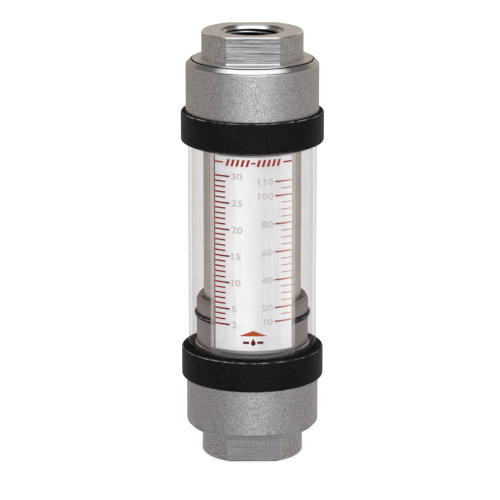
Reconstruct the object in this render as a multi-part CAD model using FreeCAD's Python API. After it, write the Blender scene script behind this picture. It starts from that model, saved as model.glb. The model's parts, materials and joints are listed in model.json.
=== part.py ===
import FreeCAD, Part
import math
import os

# In-line, spring-loaded variable-area flow meter for oil, standing on its inlet.
# Millimetres. The axis of the meter is Z and the flow runs up along +Z.
# The origin is the centre of the inlet's end face and the scale faces -Y.
# The outlet end is the inlet end turned over, so most pieces are made once for
# the inlet and mirrored in the plane half way up.

# Whole meter
OVERALL_LENGTH = 183.0

# End fitting, from the port inwards
BOSS_STEP = 6.65
BOSS_LENGTH = 11.5
BOSS_EDGE = 0.6
FLAT_DEPTH = 3.15
BODY_LENGTH = 28.5
SHOULDER_CHAMFER = 1.8
SHOULDER_ROUND = 1.2
RIM_GROOVE_WIDTH = 0.55
RIM_GROOVE_DEPTH = 1.1
RIM_GROOVE_EDGE = 0.3
RIM_WIDTH = 0.35
RIM_DROP = 0.65
SPIGOT_WALL = 3.72
SPIGOT_LENGTH = 8.9
SPIGOT_EDGE = 0.7

# Port and passage in the end fitting
PORT_RADIUS = 11.8
PORT_LENGTH = 18.0
COUNTERSINK_RADIUS = 13.35
THROAT_RADIUS = 10.6
THROAT_LENGTH = 3.0
FUNNEL_LENGTH = 7.0

# Pressure cylinder
CYLINDER_RADIUS = 20.65
CYLINDER_WALL = 3.35
CYLINDER_FIT = 0.03
CYLINDER_EDGE = 0.4

# Pressure seal between cylinder and fitting
SEAL_WIRE = 2.5
SEAL_FROM_SOCKET = 9.0
SEAL_GROOVE_PLAY = 0.5
SEAL_FIT = 0.05

# Spider plate and the snap ring that holds it
SPIDER_THICKNESS = 2.0
SPIDER_LEDGE = 1.3
SPIDER_FROM_END = 5.0
SPIDER_FIT = 0.05
SPIDER_HUB_RADIUS = 6.0
SPIDER_RIM = 5.2
SPIDER_ARM_WIDTH = 3.4
SPIDER_ARMS = 4
SNAP_THICKNESS = 1.2
SNAP_WIDTH = 2.4
SNAP_GROOVE_DEPTH = 0.8
SNAP_GAP_DEGREES = 40.0
SNAP_EAR_RADIUS = 2.2
SNAP_EAR_HOLE_RADIUS = 0.8

# Metering shaft
SHAFT_PASSAGE = 1.2
SHAFT_COLLAR_EDGE = 0.8
STOP_WIDTH = 1.3
STEM_RADIUS = 3.4
SCREW_RADIUS = 2.0
SCREW_LENGTH = 11.0
SCREW_FIT = 0.05
SCREW_HEAD_RADIUS = 3.6
SCREW_HEAD_HEIGHT = 3.0
SCREW_HEX_ACROSS = 3.0
SCREW_HEX_DEPTH = 1.8
SCREW_HOLE_SPARE = 1.5

# Piston
PISTON_CLEARANCE = 0.3
CARRIER_WALL = 2.8
CARRIER_FOOT = 3.5
CARRIER_SPRING_GUIDE = 4.0
ORIFICE_CLEARANCE = 0.3
ORIFICE_THICKNESS = 1.4
ORIFICE_LAND = 0.4
ORIFICE_FLARE = 1.0
ORIFICE_RIM = 1.6
TRANSFER_MAGNET_HEIGHT = 8.0
TRANSFER_MAGNET_INSET = 0.6
RETAINER_HEIGHT = 4.0
RETAINER_WIDTH = 4.0
PISTON_FIT = 0.05
PISTON_EDGE = 0.4

# Return spring
SPRING_WIRE = 1.3
SPRING_NECK_CLEARANCE = 0.7
SPRING_TURNS = 9.0

# Indicator, the magnetic follower outside the cylinder
INDICATOR_CLEARANCE = 0.3
INDICATOR_WALL = 2.75
INDICATOR_LENGTH = 20.0
INDICATOR_TOP_BEVEL = 0.9
INDICATOR_TOP_RISE = 1.7
INDICATOR_TOP_WALL = 0.4
INDICATOR_TOP_DEPTH = 1.2
INDICATOR_MAGNET_HEIGHT = 9.0
INDICATOR_MAGNET_LIFT = 1.0
INDICATOR_MAGNET_WALL = 1.6
INDICATOR_MAGNET_FIT = 0.05
BAND_WIRE = 2.5
BAND_PROUD = 0.95
BAND_CENTRE = 12.2
BAND_FIT = 0.05
REST_GAP = 0.2
TRAVEL_SPARE = 0.5

# Guard and its two bumpers
GUARD_WALL = 1.6
GUARD_STEP = 0.8
GUARD_FIT = 0.05
BUMPER_WALL = 1.8
BUMPER_SKIRT = 6.2
BUMPER_WEB = 1.5
BUMPER_POCKET = 4.8
BUMPER_LIP_RISE = 1.2
BUMPER_LIP_WIDTH = 0.35
BUMPER_EDGE = 1.1
BUMPER_CLEARANCE = 0.3

# Scale
BAND_CLEARANCE = 0.3
SUPPORT_THICKNESS = 0.35
SCALE_THICKNESS = 0.2
SCALE_TO_GUARD = 0.15
SCALE_HALF_ANGLE = 39.5
SUPPORT_HALF_ANGLE = 44.5
SCALE_ABOVE_SPIGOT = 2.0
SCALE_BELOW_SPIGOT = 0.1

# Heights on the axis, worked out from the sizes above
MIDDLE = OVERALL_LENGTH / 2
SHOULDER_Z = BOSS_LENGTH
FLANGE_Z = SHOULDER_Z + BODY_LENGTH
SPIGOT_Z = FLANGE_Z + SPIGOT_LENGTH
SOCKET_Z = PORT_LENGTH + THROAT_LENGTH + FUNNEL_LENGTH
SPIDER_SEAT_Z = SOCKET_Z + SPIDER_FROM_END
SPIDER_FOOT_Z = SPIDER_SEAT_Z - SPIDER_THICKNESS
SEAL_Z = SOCKET_Z + SEAL_FROM_SOCKET
INDICATOR_Z = SPIGOT_Z + REST_GAP
INDICATOR_MAGNET_Z = INDICATOR_Z + INDICATOR_MAGNET_LIFT
MAGNET_CENTRE_Z = INDICATOR_MAGNET_Z + INDICATOR_MAGNET_HEIGHT / 2
TRANSFER_MAGNET_Z = MAGNET_CENTRE_Z - TRANSFER_MAGNET_HEIGHT / 2
PISTON_Z = TRANSFER_MAGNET_Z - CARRIER_FOOT
SHAFT_COLLAR_Z = PISTON_Z - REST_GAP
RETAINER_Z = TRANSFER_MAGNET_Z + TRANSFER_MAGNET_HEIGHT
PISTON_TOP_Z = RETAINER_Z + RETAINER_HEIGHT
WEB_Z = FLANGE_Z + BUMPER_CLEARANCE
GUARD_Z = WEB_Z + BUMPER_WEB
TRAVEL = OVERALL_LENGTH - SPIGOT_Z - TRAVEL_SPARE - INDICATOR_LENGTH - INDICATOR_Z
SCALE_BOTTOM = SPIGOT_Z + SCALE_ABOVE_SPIGOT
SCALE_TOP = OVERALL_LENGTH - SPIGOT_Z - SCALE_BELOW_SPIGOT

# Radii inside the pressure cylinder, from its wall inwards
CYLINDER_BORE = CYLINDER_RADIUS - CYLINDER_WALL
SPIDER_BORE = CYLINDER_BORE + SPIDER_LEDGE
SPIDER_RADIUS = SPIDER_BORE - SPIDER_FIT
SNAP_GROOVE_RADIUS = SPIDER_BORE + SNAP_GROOVE_DEPTH
PISTON_RADIUS = CYLINDER_BORE - PISTON_CLEARANCE
TRANSFER_MAGNET_RADIUS = PISTON_RADIUS - TRANSFER_MAGNET_INSET
ORIFICE_PLATE_RADIUS = PISTON_RADIUS - ORIFICE_RIM
CARRIER_NECK_RADIUS = PISTON_RADIUS - RETAINER_WIDTH
SPRING_RADIUS = CARRIER_NECK_RADIUS + SPRING_NECK_CLEARANCE + SPRING_WIRE / 2
CARRIER_BORE_RADIUS = CARRIER_NECK_RADIUS - CARRIER_WALL
SHAFT_COLLAR_RADIUS = CARRIER_BORE_RADIUS - SHAFT_PASSAGE
CONE_FOOT_RADIUS = SHAFT_COLLAR_RADIUS - STOP_WIDTH
ORIFICE_RADIUS = CONE_FOOT_RADIUS + ORIFICE_CLEARANCE

# Radii outside the pressure cylinder, from its wall outwards
SOCKET_RADIUS = CYLINDER_RADIUS + CYLINDER_FIT
SEAL_RING_RADIUS = CYLINDER_RADIUS + SEAL_FIT + SEAL_WIRE / 2
SPIGOT_RADIUS = SOCKET_RADIUS + SPIGOT_WALL
INDICATOR_BORE = CYLINDER_RADIUS + INDICATOR_CLEARANCE
INDICATOR_MAGNET_RADIUS = INDICATOR_BORE + INDICATOR_MAGNET_WALL
INDICATOR_RADIUS = INDICATOR_BORE + INDICATOR_WALL
BAND_OUTER_RADIUS = INDICATOR_RADIUS + BAND_PROUD
BAND_RING_RADIUS = BAND_OUTER_RADIUS - BAND_WIRE / 2
SUPPORT_RADIUS = BAND_OUTER_RADIUS + BAND_CLEARANCE + SUPPORT_THICKNESS
SCALE_RADIUS = SUPPORT_RADIUS + SCALE_THICKNESS
GUARD_BORE = SCALE_RADIUS + SCALE_TO_GUARD
GUARD_RADIUS = GUARD_BORE + GUARD_WALL
BODY_RADIUS = GUARD_RADIUS + GUARD_STEP
BUMPER_RADIUS = BODY_RADIUS + BUMPER_CLEARANCE + BUMPER_WALL
BOSS_RADIUS = BODY_RADIUS - BOSS_STEP
FLAT_FROM_AXIS = BOSS_RADIUS - FLAT_DEPTH

AXIS = FreeCAD.Vector(0, 0, 1)
CENTRE = FreeCAD.Vector(0, 0, 0)
FRONT = -90.0


def turned(points):
    """A solid of revolution about Z, from the corners (radius, height) of its half section."""
    corners = [FreeCAD.Vector(radius, 0, height) for radius, height in points]
    face = Part.Face(Part.makePolygon(corners + corners[:1]))
    return face.revolve(CENTRE, AXIS, 360)


def ring(inner, outer, bottom, top):
    return turned([(inner, bottom), (outer, bottom), (outer, top), (inner, top)])


def wire_ring(ring_radius, wire, height):
    place = FreeCAD.Vector(0, 0, height)
    return Part.makeTorus(ring_radius, wire / 2, place, AXIS)


def upside_down(shape):
    """The same piece at the outlet end: mirrored in the plane half way up."""
    return shape.mirror(FreeCAD.Vector(0, 0, MIDDLE), AXIS)


def turned_over(shape):
    """The same piece at the outlet end: turned over about the X axis, half way up."""
    flipped = shape.copy()
    flipped.rotate(FreeCAD.Vector(0, 0, MIDDLE), FreeCAD.Vector(1, 0, 0), 180)
    return flipped


def edges_at(shape, radius, height):
    """The round edges of a turned solid that have this radius and this height."""
    found = []
    for edge in shape.Edges:
        curve = edge.Curve
        if not isinstance(curve, Part.Circle):
            continue
        if abs(curve.Radius - radius) < 1e-4 and abs(curve.Center.z - height) < 1e-4:
            found.append(edge)
    return found


def end_fitting():
    """Turned fitting of the inlet: boss, grooved shoulder, body and spigot, bored through."""
    rim_z = SHOULDER_Z + RIM_DROP
    chamfer_foot = rim_z + SHOULDER_CHAMFER
    chamfer_radius = BODY_RADIUS - SHOULDER_CHAMFER
    groove_outer = chamfer_radius - RIM_WIDTH
    groove_inner = groove_outer - RIM_GROOVE_WIDTH
    groove_z = SHOULDER_Z + RIM_GROOVE_DEPTH
    blank = turned([
        (0, 0),
        (BOSS_RADIUS - BOSS_EDGE, 0),
        (BOSS_RADIUS, BOSS_EDGE),
        (BOSS_RADIUS, SHOULDER_Z),
        (groove_inner - RIM_GROOVE_EDGE, SHOULDER_Z),
        (groove_inner, SHOULDER_Z + RIM_GROOVE_EDGE),
        (groove_inner, groove_z),
        (groove_outer, groove_z),
        (groove_outer, rim_z),
        (chamfer_radius, rim_z),
        (BODY_RADIUS, chamfer_foot),
        (BODY_RADIUS, FLANGE_Z),
        (SPIGOT_RADIUS, FLANGE_Z),
        (SPIGOT_RADIUS, SPIGOT_Z - SPIGOT_EDGE),
        (SPIGOT_RADIUS - SPIGOT_EDGE, SPIGOT_Z),
        (0, SPIGOT_Z),
    ])
    soft_edges = edges_at(blank, BODY_RADIUS, chamfer_foot)
    blank = blank.makeFillet(SHOULDER_ROUND, soft_edges)
    countersink_depth = COUNTERSINK_RADIUS - PORT_RADIUS
    passage = turned([
        (0, 0),
        (COUNTERSINK_RADIUS, 0),
        (PORT_RADIUS, countersink_depth),
        (PORT_RADIUS, PORT_LENGTH),
        (THROAT_RADIUS, PORT_LENGTH),
        (THROAT_RADIUS, PORT_LENGTH + THROAT_LENGTH),
        (CYLINDER_BORE, SOCKET_Z),
        (SOCKET_RADIUS, SOCKET_Z),
        (SOCKET_RADIUS, SPIGOT_Z),
        (0, SPIGOT_Z),
    ])
    groove_half = (SEAL_WIRE + SEAL_GROOVE_PLAY) / 2
    groove_radius = SEAL_RING_RADIUS + SEAL_WIRE / 2 + SEAL_FIT
    seal_groove = ring(CYLINDER_RADIUS, groove_radius, SEAL_Z - groove_half, SEAL_Z + groove_half)
    return blank.cut(passage).cut(seal_groove).cut(flat_cutters())


def flat_cutters():
    """The two slabs that the wrench flats remove from the boss, front and back."""
    slab_width = 2 * BOSS_RADIUS
    slab_depth = BOSS_RADIUS
    corner = FreeCAD.Vector(-BOSS_RADIUS, FLAT_FROM_AXIS, 0)
    back = Part.makeBox(slab_width, slab_depth, SHOULDER_Z, corner)
    front = back.mirror(CENTRE, FreeCAD.Vector(0, 1, 0))
    return back.fuse(front)


def pressure_cylinder():
    """Tube with a seat for a spider plate and a snap ring groove at each end."""
    top = OVERALL_LENGTH - SOCKET_Z
    edge = CYLINDER_EDGE
    tube = turned([
        (CYLINDER_BORE, SOCKET_Z),
        (CYLINDER_RADIUS - edge, SOCKET_Z),
        (CYLINDER_RADIUS, SOCKET_Z + edge),
        (CYLINDER_RADIUS, top - edge),
        (CYLINDER_RADIUS - edge, top),
        (CYLINDER_BORE, top),
    ])
    seat = ring(0, SPIDER_BORE, SOCKET_Z, SPIDER_SEAT_Z)
    groove = ring(0, SNAP_GROOVE_RADIUS, SPIDER_FOOT_Z - SNAP_THICKNESS, SPIDER_FOOT_Z)
    recess = seat.fuse(groove)
    return tube.cut(recess).cut(upside_down(recess))


def pressure_seal():
    return wire_ring(SEAL_RING_RADIUS, SEAL_WIRE, SEAL_Z)


def spider_plate():
    """Disc with a hub, a rim and windows between its arms for the oil."""
    plate = ring(SCREW_RADIUS + SCREW_FIT, SPIDER_RADIUS, SPIDER_FOOT_Z, SPIDER_SEAT_Z)
    window_ring = ring(SPIDER_HUB_RADIUS, SPIDER_RADIUS - SPIDER_RIM, SPIDER_FOOT_Z, SPIDER_SEAT_Z)
    for index in range(SPIDER_ARMS):
        arm = Part.makeBox(
            SPIDER_RADIUS,
            SPIDER_ARM_WIDTH,
            SPIDER_THICKNESS,
            FreeCAD.Vector(0, -SPIDER_ARM_WIDTH / 2, SPIDER_FOOT_Z),
        )
        arm.rotate(CENTRE, AXIS, 45 + index * 360 / SPIDER_ARMS)
        window_ring = window_ring.cut(arm)
    return plate.cut(window_ring)


def snap_ring():
    """Open ring with an ear at each side of its gap, in the groove below the spider plate."""
    bottom = SPIDER_FOOT_Z - SNAP_THICKNESS
    outer = SNAP_GROOVE_RADIUS - SPIDER_FIT
    inner = outer - SNAP_WIDTH
    open_ring = ring(inner, outer, bottom, SPIDER_FOOT_Z)
    reach = 2 * outer
    half_gap = math.radians(SNAP_GAP_DEGREES / 2)
    gap_corners = [
        FreeCAD.Vector(0, 0, bottom),
        FreeCAD.Vector(reach, -reach * math.tan(half_gap), bottom),
        FreeCAD.Vector(reach, reach * math.tan(half_gap), bottom),
    ]
    gap_face = Part.Face(Part.makePolygon(gap_corners + gap_corners[:1]))
    open_ring = open_ring.cut(gap_face.extrude(FreeCAD.Vector(0, 0, SNAP_THICKNESS)))
    ear_ring_radius = outer - SNAP_GROOVE_DEPTH - SNAP_EAR_RADIUS
    ear_angle = half_gap + SNAP_EAR_RADIUS / ear_ring_radius
    for side in (-1, 1):
        place = FreeCAD.Vector(
            ear_ring_radius * math.cos(side * ear_angle),
            ear_ring_radius * math.sin(side * ear_angle),
            bottom,
        )
        ear = Part.makeCylinder(SNAP_EAR_RADIUS, SNAP_THICKNESS, place, AXIS)
        hole = Part.makeCylinder(SNAP_EAR_HOLE_RADIUS, SNAP_THICKNESS, place, AXIS)
        open_ring = open_ring.fuse(ear).cut(hole)
    return open_ring.removeSplitter()


def shaft_screw():
    """Socket head screw that holds the metering shaft to the inlet spider plate."""
    head_bottom = SPIDER_FOOT_Z - SCREW_HEAD_HEIGHT
    edge = SCREW_HEAD_HEIGHT / 8
    screw = turned([
        (0, head_bottom),
        (SCREW_HEAD_RADIUS - edge, head_bottom),
        (SCREW_HEAD_RADIUS, head_bottom + edge),
        (SCREW_HEAD_RADIUS, SPIDER_FOOT_Z),
        (SCREW_RADIUS, SPIDER_FOOT_Z),
        (SCREW_RADIUS, SPIDER_FOOT_Z + SCREW_LENGTH),
        (0, SPIDER_FOOT_Z + SCREW_LENGTH),
    ])
    corner_radius = SCREW_HEX_ACROSS / 2 / math.cos(math.radians(30))
    corners = []
    for index in range(6):
        angle = math.radians(60 * index)
        corners.append(FreeCAD.Vector(
            corner_radius * math.cos(angle), corner_radius * math.sin(angle), head_bottom))
    hexagon = Part.Face(Part.makePolygon(corners + corners[:1]))
    return screw.cut(hexagon.extrude(FreeCAD.Vector(0, 0, SCREW_HEX_DEPTH)))


def metering_shaft():
    """Turned shaft: stop collar at the foot, taper along the travel, thin stem above."""
    top = OVERALL_LENGTH - SPIDER_SEAT_Z
    taper_top = SHAFT_COLLAR_Z + TRAVEL + CARRIER_FOOT
    shaft = turned([
        (0, SPIDER_SEAT_Z),
        (SHAFT_COLLAR_RADIUS - SHAFT_COLLAR_EDGE, SPIDER_SEAT_Z),
        (SHAFT_COLLAR_RADIUS, SPIDER_SEAT_Z + SHAFT_COLLAR_EDGE),
        (SHAFT_COLLAR_RADIUS, SHAFT_COLLAR_Z),
        (CONE_FOOT_RADIUS, SHAFT_COLLAR_Z),
        (STEM_RADIUS, taper_top),
        (STEM_RADIUS, top),
        (0, top),
    ])
    depth = SCREW_LENGTH - SPIDER_THICKNESS + SCREW_HOLE_SPARE
    hole = ring(0, SCREW_RADIUS + SCREW_FIT, SPIDER_SEAT_Z, SPIDER_SEAT_Z + depth)
    return shaft.cut(hole).cut(upside_down(hole))


def piston_carrier():
    """Flanged sleeve: a foot that guides it in the cylinder and a neck for the magnet."""
    foot_top = TRANSFER_MAGNET_Z
    carrier = turned([
        (CARRIER_BORE_RADIUS, PISTON_Z),
        (PISTON_RADIUS - PISTON_EDGE, PISTON_Z),
        (PISTON_RADIUS, PISTON_Z + PISTON_EDGE),
        (PISTON_RADIUS, foot_top),
        (CARRIER_NECK_RADIUS, foot_top),
        (CARRIER_NECK_RADIUS, PISTON_TOP_Z + CARRIER_SPRING_GUIDE - PISTON_EDGE),
        (CARRIER_NECK_RADIUS - PISTON_EDGE, PISTON_TOP_Z + CARRIER_SPRING_GUIDE),
        (CARRIER_BORE_RADIUS, PISTON_TOP_Z + CARRIER_SPRING_GUIDE),
    ])
    plate_seat = ring(0, ORIFICE_PLATE_RADIUS + PISTON_FIT, PISTON_Z, PISTON_Z + ORIFICE_THICKNESS)
    return carrier.cut(plate_seat)


def orifice_plate():
    """Disc in the foot of the carrier, with a sharp edge upstream and a flare downstream."""
    top = PISTON_Z + ORIFICE_THICKNESS
    return turned([
        (ORIFICE_RADIUS, PISTON_Z),
        (ORIFICE_PLATE_RADIUS, PISTON_Z),
        (ORIFICE_PLATE_RADIUS, top),
        (ORIFICE_RADIUS + ORIFICE_FLARE, top),
        (ORIFICE_RADIUS, PISTON_Z + ORIFICE_LAND),
    ])


def transfer_magnet():
    inner = CARRIER_NECK_RADIUS + PISTON_FIT
    return ring(inner, TRANSFER_MAGNET_RADIUS, TRANSFER_MAGNET_Z, RETAINER_Z)


def magnet_retainer():
    """Guide ring on the neck, above the magnet, whose top face carries the spring."""
    inner = CARRIER_NECK_RADIUS + PISTON_FIT
    return turned([
        (inner, RETAINER_Z),
        (PISTON_RADIUS, RETAINER_Z),
        (PISTON_RADIUS, PISTON_TOP_Z - PISTON_EDGE),
        (PISTON_RADIUS - PISTON_EDGE, PISTON_TOP_Z),
        (inner, PISTON_TOP_Z),
    ])


def return_spring():
    """Compression spring from the piston to the outlet spider plate, with ground ends."""
    bottom = PISTON_TOP_Z
    top = OVERALL_LENGTH - SPIDER_SEAT_Z
    height = top - bottom
    helix = Part.makeHelix(height / SPRING_TURNS, height, SPRING_RADIUS)
    start = FreeCAD.Vector(SPRING_RADIUS, 0, 0)
    section = Part.Wire([Part.makeCircle(SPRING_WIRE / 2, start, FreeCAD.Vector(0, 1, 0))])
    coil = Part.Wire(helix).makePipeShell([section], True, True)
    coil.translate(FreeCAD.Vector(0, 0, bottom))
    return coil.common(ring(0, CYLINDER_BORE, bottom, top))


def indicator_sleeve():
    """Ring that rides on the cylinder: bevelled and dished top, groove for the band, magnet seat."""
    top = INDICATOR_Z + INDICATOR_LENGTH
    rim = INDICATOR_RADIUS - INDICATOR_TOP_BEVEL
    sleeve = turned([
        (INDICATOR_BORE, INDICATOR_Z),
        (INDICATOR_RADIUS, INDICATOR_Z),
        (INDICATOR_RADIUS, top - INDICATOR_TOP_RISE),
        (rim, top),
        (rim - INDICATOR_TOP_WALL, top),
        (INDICATOR_BORE, top - INDICATOR_TOP_DEPTH),
    ])
    seat_top = INDICATOR_MAGNET_Z + INDICATOR_MAGNET_HEIGHT
    seat_radius = INDICATOR_MAGNET_RADIUS + INDICATOR_MAGNET_FIT
    magnet_seat = ring(0, seat_radius, INDICATOR_Z, seat_top)
    half = BAND_WIRE / 2 + BAND_FIT
    band_z = INDICATOR_Z + BAND_CENTRE
    groove_radius = BAND_OUTER_RADIUS - BAND_WIRE - BAND_FIT
    band_groove = ring(groove_radius, BAND_OUTER_RADIUS, band_z - half, band_z + half)
    return sleeve.cut(magnet_seat).cut(band_groove)


def indicator_magnet():
    top = INDICATOR_MAGNET_Z + INDICATOR_MAGNET_HEIGHT
    return ring(INDICATOR_BORE, INDICATOR_MAGNET_RADIUS, INDICATOR_MAGNET_Z, top)


def indicator_band():
    return wire_ring(BAND_RING_RADIUS, BAND_WIRE, INDICATOR_Z + BAND_CENTRE)


def bumper():
    """Rubber collar over the fitting's flange edge, with a pocket for the guard's end."""
    skirt_bore = BODY_RADIUS + BUMPER_CLEARANCE
    web_bore = SPIGOT_RADIUS + BUMPER_CLEARANCE
    pocket_bore = GUARD_RADIUS + GUARD_FIT
    skirt_z = FLANGE_Z - BUMPER_SKIRT
    face_z = GUARD_Z + BUMPER_POCKET
    lip_z = face_z + BUMPER_LIP_RISE
    collar = turned([
        (skirt_bore, skirt_z),
        (BUMPER_RADIUS, skirt_z),
        (BUMPER_RADIUS, face_z),
        (pocket_bore + BUMPER_LIP_WIDTH, lip_z),
        (pocket_bore, lip_z),
        (pocket_bore, GUARD_Z),
        (web_bore, GUARD_Z),
        (web_bore, WEB_Z),
        (skirt_bore, WEB_Z),
    ])
    outer_edges = edges_at(collar, BUMPER_RADIUS, skirt_z) + edges_at(collar, BUMPER_RADIUS, face_z)
    return collar.makeFillet(BUMPER_EDGE, outer_edges)


def guard_tube():
    return ring(GUARD_BORE, GUARD_RADIUS, GUARD_Z, OVERALL_LENGTH - GUARD_Z)


def curved_strip(radius, thickness, half_angle, bottom, top):
    """A strip of a tube's wall that faces the front."""
    corners = [
        FreeCAD.Vector(radius - thickness, 0, bottom),
        FreeCAD.Vector(radius, 0, bottom),
        FreeCAD.Vector(radius, 0, top),
        FreeCAD.Vector(radius - thickness, 0, top),
    ]
    section = Part.Face(Part.makePolygon(corners + corners[:1]))
    section.rotate(CENTRE, AXIS, FRONT - half_angle)
    return section.revolve(CENTRE, AXIS, 2 * half_angle)


def scale_support():
    """Clear strip inside the guard, held at both ends by the bumpers' webs."""
    top = OVERALL_LENGTH - GUARD_Z
    return curved_strip(SUPPORT_RADIUS, SUPPORT_THICKNESS, SUPPORT_HALF_ANGLE, GUARD_Z, top)


def scale_sheet():
    """White sheet that carries the printed scale, on the front of its support."""
    return curved_strip(SCALE_RADIUS, SCALE_THICKNESS, SCALE_HALF_ANGLE, SCALE_BOTTOM, SCALE_TOP)


def all_nodes():
    nodes = {
        "pressure_cylinder": pressure_cylinder(),
        "metering_shaft": metering_shaft(),
        "piston_carrier": piston_carrier(),
        "orifice_plate": orifice_plate(),
        "transfer_magnet": transfer_magnet(),
        "magnet_retainer": magnet_retainer(),
        "return_spring": return_spring(),
        "indicator_sleeve": indicator_sleeve(),
        "indicator_magnet": indicator_magnet(),
        "indicator_band": indicator_band(),
        "guard_tube": guard_tube(),
        "scale_support": scale_support(),
        "scale_sheet": scale_sheet(),
    }
    two_ended = {
        "fitting": end_fitting(),
        "pressure_seal": pressure_seal(),
        "spider_plate": spider_plate(),
        "retaining_ring": snap_ring(),
        "shaft_screw": shaft_screw(),
    }
    for name, shape in two_ended.items():
        nodes["inlet_" + name] = shape
        nodes["outlet_" + name] = turned_over(shape)
    lower_bumper = bumper()
    nodes["lower_bumper"] = lower_bumper
    nodes["upper_bumper"] = turned_over(lower_bumper)
    return nodes


def main():
    os.makedirs("parts", exist_ok=True)
    for name, shape in all_nodes().items():
        solids = len(shape.Solids)
        print(name, "solids", solids, "valid", shape.isValid(), "volume", round(shape.Volume, 1))
        shape.exportStep("parts/" + name + ".step")


main()
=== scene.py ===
import json
import math

import bmesh
import bpy
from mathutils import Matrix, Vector


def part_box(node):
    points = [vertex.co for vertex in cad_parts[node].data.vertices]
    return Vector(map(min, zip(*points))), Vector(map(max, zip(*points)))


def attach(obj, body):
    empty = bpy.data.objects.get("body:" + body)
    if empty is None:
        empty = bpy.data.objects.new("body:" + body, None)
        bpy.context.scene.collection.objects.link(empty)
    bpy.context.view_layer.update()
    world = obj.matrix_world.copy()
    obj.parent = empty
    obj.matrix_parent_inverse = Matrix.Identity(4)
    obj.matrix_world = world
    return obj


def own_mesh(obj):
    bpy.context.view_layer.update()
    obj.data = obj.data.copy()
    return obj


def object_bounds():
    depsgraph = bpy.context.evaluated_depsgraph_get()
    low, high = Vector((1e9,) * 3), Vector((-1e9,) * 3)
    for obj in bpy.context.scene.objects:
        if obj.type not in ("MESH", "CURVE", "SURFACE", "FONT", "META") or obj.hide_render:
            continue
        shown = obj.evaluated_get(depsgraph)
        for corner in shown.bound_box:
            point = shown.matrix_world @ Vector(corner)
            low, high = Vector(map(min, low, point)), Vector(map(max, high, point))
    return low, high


# The look of an in-line flow meter: satin metal, black rubber, a clear guard and a printed scale.
# Lengths are metres, angles are degrees where a name says so, and MM turns millimetres into metres.

MM = 0.001

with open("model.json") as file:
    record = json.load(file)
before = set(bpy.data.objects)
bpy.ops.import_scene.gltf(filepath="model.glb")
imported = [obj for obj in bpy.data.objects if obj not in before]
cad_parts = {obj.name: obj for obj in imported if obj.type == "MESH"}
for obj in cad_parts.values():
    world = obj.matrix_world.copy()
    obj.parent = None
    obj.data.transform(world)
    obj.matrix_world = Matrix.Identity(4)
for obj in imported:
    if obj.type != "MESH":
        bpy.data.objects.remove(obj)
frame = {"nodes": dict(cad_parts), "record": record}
nodes = frame["nodes"]
cad_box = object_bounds()

# Camera, at the photograph's viewing angle
CAMERA_DISTANCE = 1.30
CAMERA_ELEVATION_DEG = 14.3
CAMERA_AZIMUTH_DEG = -0.8
CAMERA_LENS = 220.4
LOOK_AT_HEIGHT = 0.0882
LOOK_AT_LEFT = 0.0010

# Printed scale, as arc lengths along the sheet from its middle and heights from the sheet's foot
PRINT_STANDOFF = 0.02 * MM
PRINT_THICKNESS = 0.03 * MM
PRINT_STEP = 1.2 * MM
SHEET_HALF_ANGLE_DEG = 39.5
SHEET_MARGIN = 0.15 * MM
TICK_WIDTH = 0.70 * MM
WIDE_TICK_WIDTH = 0.74 * MM
RIGHT_TICK_WIDTH = 0.62 * MM
THIN_TICK_WIDTH = 0.38 * MM
LEFT_LONG_TICK = 7.3 * MM
LEFT_SHORT_TICK = 5.4 * MM
RIGHT_LONG_TICK = 8.1 * MM
RIGHT_SHORT_TICK = 5.3 * MM
FIRST_MARK_HEIGHT = 11.05 * MM
LEFT_UNIT = 2.275 * MM
LEFT_FIRST = 2
LEFT_LAST = 30
LEFT_LABELS = (2, 5, 10, 15, 20, 25, 30)
RIGHT_UNITS_PER_LEFT = 3.785
RIGHT_FIRST = 10
RIGHT_LAST = 110
RIGHT_STEP = 5
RIGHT_LABELS = (10, 20, 40, 60, 80, 100, 110)
RIGHT_OFFSET = 1.4 * MM
DIGIT_HEIGHT = 2.75 * MM
DIGIT_STRETCH = 1.32
DIGIT_WEIGHT = 0.018
LABEL_GAP = 0.9 * MM
HEADER_HEIGHT = 80.6 * MM
HEADER_HALF_WIDTH = 12.2 * MM
HEADER_GAP = 0.8 * MM
HEADER_DASH_HALF = 1.0 * MM
HEADER_BARS_A_SIDE = 5
HEADER_BAR_HEIGHT = 3.0 * MM
HEADER_BAR_WIDTH = 1.05 * MM
HEADER_BAR_PITCH = 2.15 * MM
HEADER_BAR_LEAN = 0.9 * MM
ARROW_FOOT = 6.4 * MM
ARROW_RISE = 2.4 * MM
ARROW_WIDTH = 12.0 * MM
ARROW_STEPS = 10
DROP_FOOT = 2.3 * MM
DROP_HEIGHT = 3.1 * MM
DROP_RADIUS_SHARE = 0.33
DROP_SHOULDER_DEG = 35
DROP_SWEEP_DEG = 250
DROP_STEPS = 14
MARK_BAR_LENGTH = 2.6 * MM
MARK_BAR_OFFSET = 1.7 * MM
MARK_BAR_HALF_WIDTH = 0.55 * MM
MARK_BAR_SHARE = 0.42

# Places on the fittings that their metal tells apart. A flat lies within FLAT_MASK of its plane, the
# lines are painted highlights along the edges of the flats and of the upper boss, and LEVEL and
# BARELY_LEANING are the upright share of a face's normal.
BOSS_LENGTH = 11.5 * MM
BOSS_RADIUS = 21.4 * MM
BOSS_RIM_LINE = 0.45 * MM
FLAT_MASK = 0.05 * MM
FLAT_FOOT_LINE = 0.40 * MM
FLAT_END_LINE = 0.22 * MM
# Height of a painted contact shadow along the meter's foot
FOOT_SHADOW_HEIGHT = 0.35 * MM
COUNTERSINK_REACH = 15.0 * MM
LEVEL = 0.97
BARELY_LEANING = 0.12

# Narrow groove round each fitting's shoulder, with painted shade inside it
RIM_GROOVE_INSET = 2.425 * MM
RIM_GROOVE_WIDTH = 0.55 * MM
RIM_GROOVE_SPARE = 0.02 * MM

# Wall of the clear guard
GUARD_WALL = 1.6 * MM
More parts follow.
